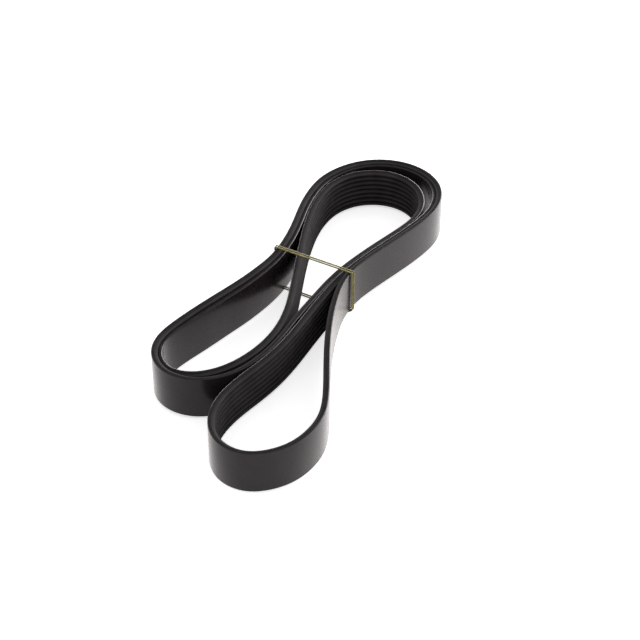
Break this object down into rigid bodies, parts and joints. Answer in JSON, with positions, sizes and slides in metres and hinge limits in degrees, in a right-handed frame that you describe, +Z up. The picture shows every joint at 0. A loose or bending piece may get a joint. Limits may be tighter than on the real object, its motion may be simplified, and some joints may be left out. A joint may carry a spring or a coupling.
{
  "type": "folded serpentine belt",
  "caption": "Multi-rib serpentine drive belt, folded for storage into three loops on its edge and held by an elastic band.",
  "frame": {"origin": "middle of the footprint, on the surface the folded belt stands on", "axes": "+Z up, across the belt's width; +Y along the folded bundle, from the single front loop to the large rear loop; +X to the right as seen from the front loop"},
  "size_m": [0.1882, 0.3266, 0.0321],
  "materials": {
    "belt_rubber": "near-black, satin back, matt ribs and cut edges",
    "band_rubber": "olive yellow, soft sheen"
  },
  "bodies": {
    "root": {"ribbed_belt": "belt_rubber", "rubber_band": "band_rubber"}
  },
  "joints": []
}
